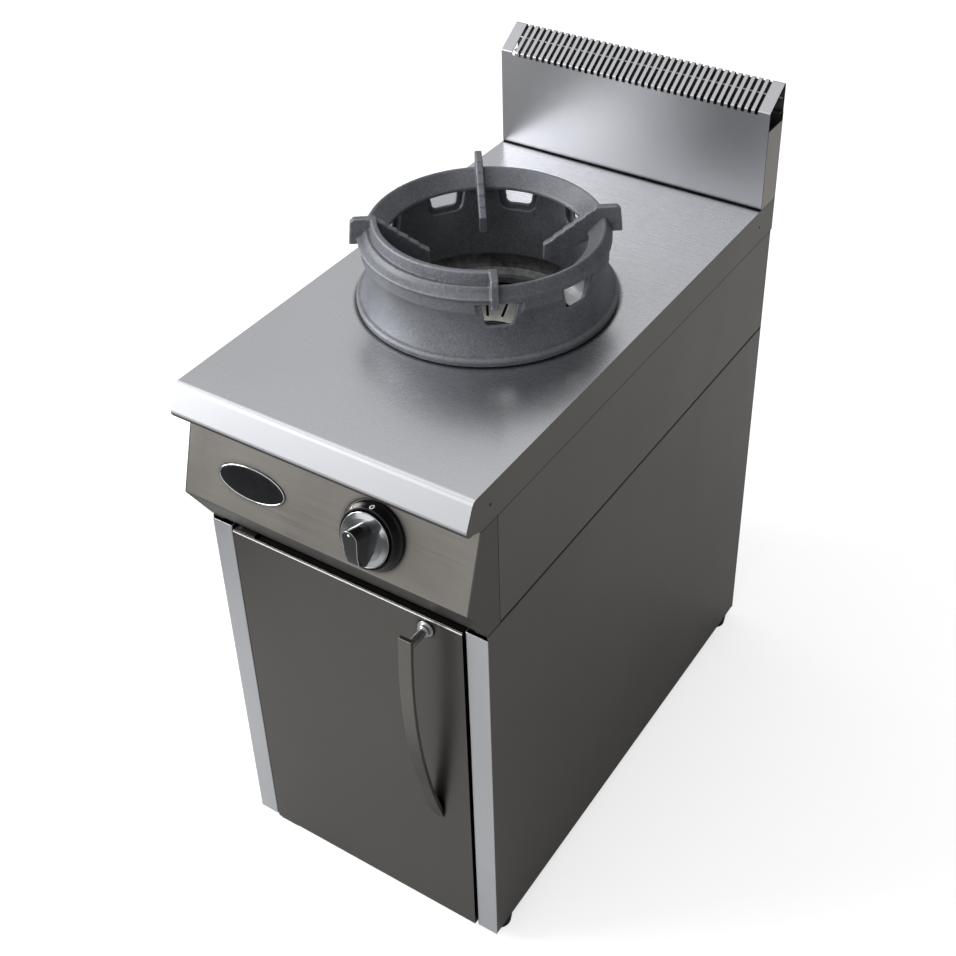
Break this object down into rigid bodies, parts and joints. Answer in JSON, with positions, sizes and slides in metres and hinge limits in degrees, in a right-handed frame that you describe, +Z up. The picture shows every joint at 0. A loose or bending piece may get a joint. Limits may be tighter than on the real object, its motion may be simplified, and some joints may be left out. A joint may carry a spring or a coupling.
{
  "type": "wok burner",
  "caption": "Free-standing gas wok range: cabinet with hinged door, sloped panel with gas knob, lift-off cast wok ring over a slotted burner, and a slotted flue hood behind.",
  "frame": {"origin": "on the floor, under the middle of the whole part", "axes": "+Z up, +X to the right seen from the front, -Y towards the cook, where the door and the knob are"},
  "size_m": [0.45, 0.8986, 1.0507],
  "materials": {
    "worktop_steel": "satin brushed stainless sheet",
    "panel_steel": "brushed stainless sheet, warm grey",
    "side_steel": "brushed stainless sheet, darker",
    "post_steel": "pale satin stainless",
    "inner_steel": "plain folded sheet",
    "handle_steel": "satin bar",
    "iron": "coated casting",
    "burner_iron": "machined bright face",
    "brass": "turned",
    "chrome": "polished",
    "black_plastic": "moulded"
  },
  "bodies": {
    "cabinet": {"base_pan": "inner_steel", "left_side_panel": "side_steel", "right_side_panel": "side_steel", "rear_panel": "side_steel", "left_post": "post_steel", "right_post": "post_steel", "door_header": "side_steel", "left_upper_side": "panel_steel", "right_upper_side": "panel_steel", "divider_shelf": "inner_steel", "fascia": "panel_steel", "left_end_cap": "panel_steel", "right_end_cap": "panel_steel", "worktop": "worktop_steel", "worktop_screws": "handle_steel", "drip_bowl": "worktop_steel", "burner_bracket": "inner_steel", "burner_body": "iron", "burner_head": "burner_iron", "pilot_burner": "brass", "thermocouple": "chrome", "injector": "brass", "gas_valve": "brass", "bezel": "black_plastic", "inlet_pipe": "inner_steel", "burner_pipe": "inner_steel", "pilot_pipe": "inner_steel", "gas_inlet": "brass", "flue_hood": "worktop_steel", "flue_rear": "side_steel", "flue_left_end": "panel_steel", "flue_right_end": "panel_steel", "flue_stay": "inner_steel", "foot_front_left": "black_plastic", "foot_front_right": "black_plastic", "foot_rear_left": "black_plastic", "foot_rear_right": "black_plastic", "lower_hinge_plate": "inner_steel", "upper_hinge_plate": "inner_steel", "door_catch": "black_plastic"},
    "door": {"door_skin": "side_steel", "door_liner": "inner_steel", "hinge_pins": "inner_steel", "strike_plate": "inner_steel", "handle_bar": "handle_steel", "handle_stud": "handle_steel"},
    "valve": {"valve_plug": "brass"},
    "knob": {"valve_spindle": "chrome", "knob_body": "black_plastic", "knob_plate": "chrome"},
    "wok_ring": {"wok_ring": "iron"}
  },
  "joints": [
    {"name": "door_hinge", "type": "hinge", "parent": "cabinet", "child": "door", "pos_m": [-0.1775, -0.37472, 0.3185], "axis": [0, 0, -1], "range_deg": [0, 115]},
    {"name": "knob_turn", "type": "hinge", "parent": "cabinet", "child": "valve", "pos_m": [0.0775, -0.40282, 0.75061], "axis": [0, -0.9557, 0.2944], "range_deg": [0, 180]},
    {"name": "knob_press", "type": "slide", "parent": "valve", "child": "knob", "axis": [0, 0.9557, -0.2944], "range_m": [0, 0.004], "stiffness_N_per_m": 1500},
    {"name": "ring_lift", "type": "slide", "parent": "cabinet", "child": "wok_ring", "axis": [0, 0, 1], "range_m": [0, 0.15]}
  ]
}
